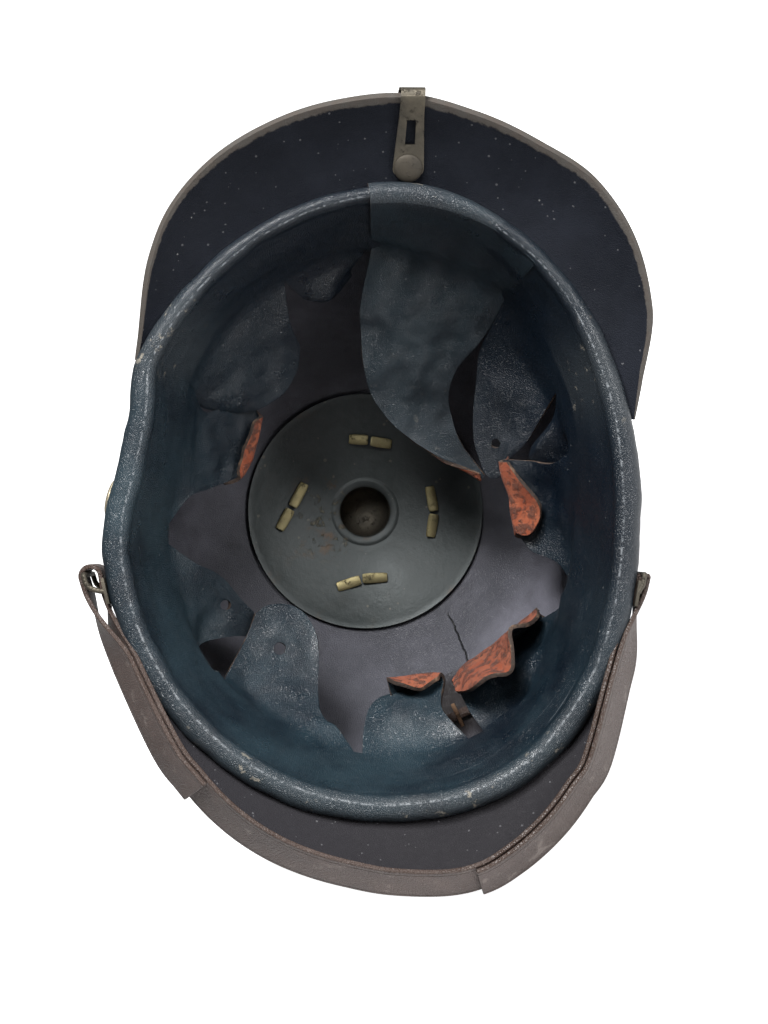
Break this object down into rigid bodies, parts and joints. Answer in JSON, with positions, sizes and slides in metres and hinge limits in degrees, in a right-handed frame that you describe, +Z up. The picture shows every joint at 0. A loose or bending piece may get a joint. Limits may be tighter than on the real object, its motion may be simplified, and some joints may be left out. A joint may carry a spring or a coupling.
{
  "type": "spiked helmet",
  "caption": "Old black leather helmet with a metal spike on a domed base, front and rear visors, a fingered leather liner and a leather chin strap, lying turned over.",
  "frame": {"origin": "centre of the bounding box at the surface the helmet lies on", "axes": "+Z up from that surface; the head opening faces -Y and up, +X towards the right rear of the head, and +Y along the spike, which points down to the surface"},
  "size_m": [0.2436, 0.2852, 0.2289],
  "materials": {
    "skull_leather": "satin black, cracked",
    "visor_leather": "dull black, dusty",
    "liner_leather": "black-blue, worn shiny",
    "strap_leather": "dry brown",
    "aged_brass": "tarnished",
    "pin_brass": "dull",
    "dark_metal": "dark lacquer over metal, rusting through"
  },
  "bodies": {
    "root": {"crown_shell": "skull_leather", "front_visor": "visor_leather", "rear_visor": "visor_leather", "liner": "liner_leather", "liner_flap": "liner_leather", "inner_disc": "dark_metal", "spike_base": "aged_brass", "spike": "aged_brass", "stud_rear": "pin_brass", "stud_left": "pin_brass", "stud_right": "pin_brass", "stud_front": "pin_brass", "rear_spine": "aged_brass", "spine_rivet": "aged_brass", "side_button": "pin_brass", "strap_post_left": "aged_brass", "strap_post_right": "aged_brass", "front_shield": "aged_brass", "shield_peg_right": "strap_leather", "shield_peg_left": "strap_leather", "chin_strap": "strap_leather"}
  },
  "joints": []
}
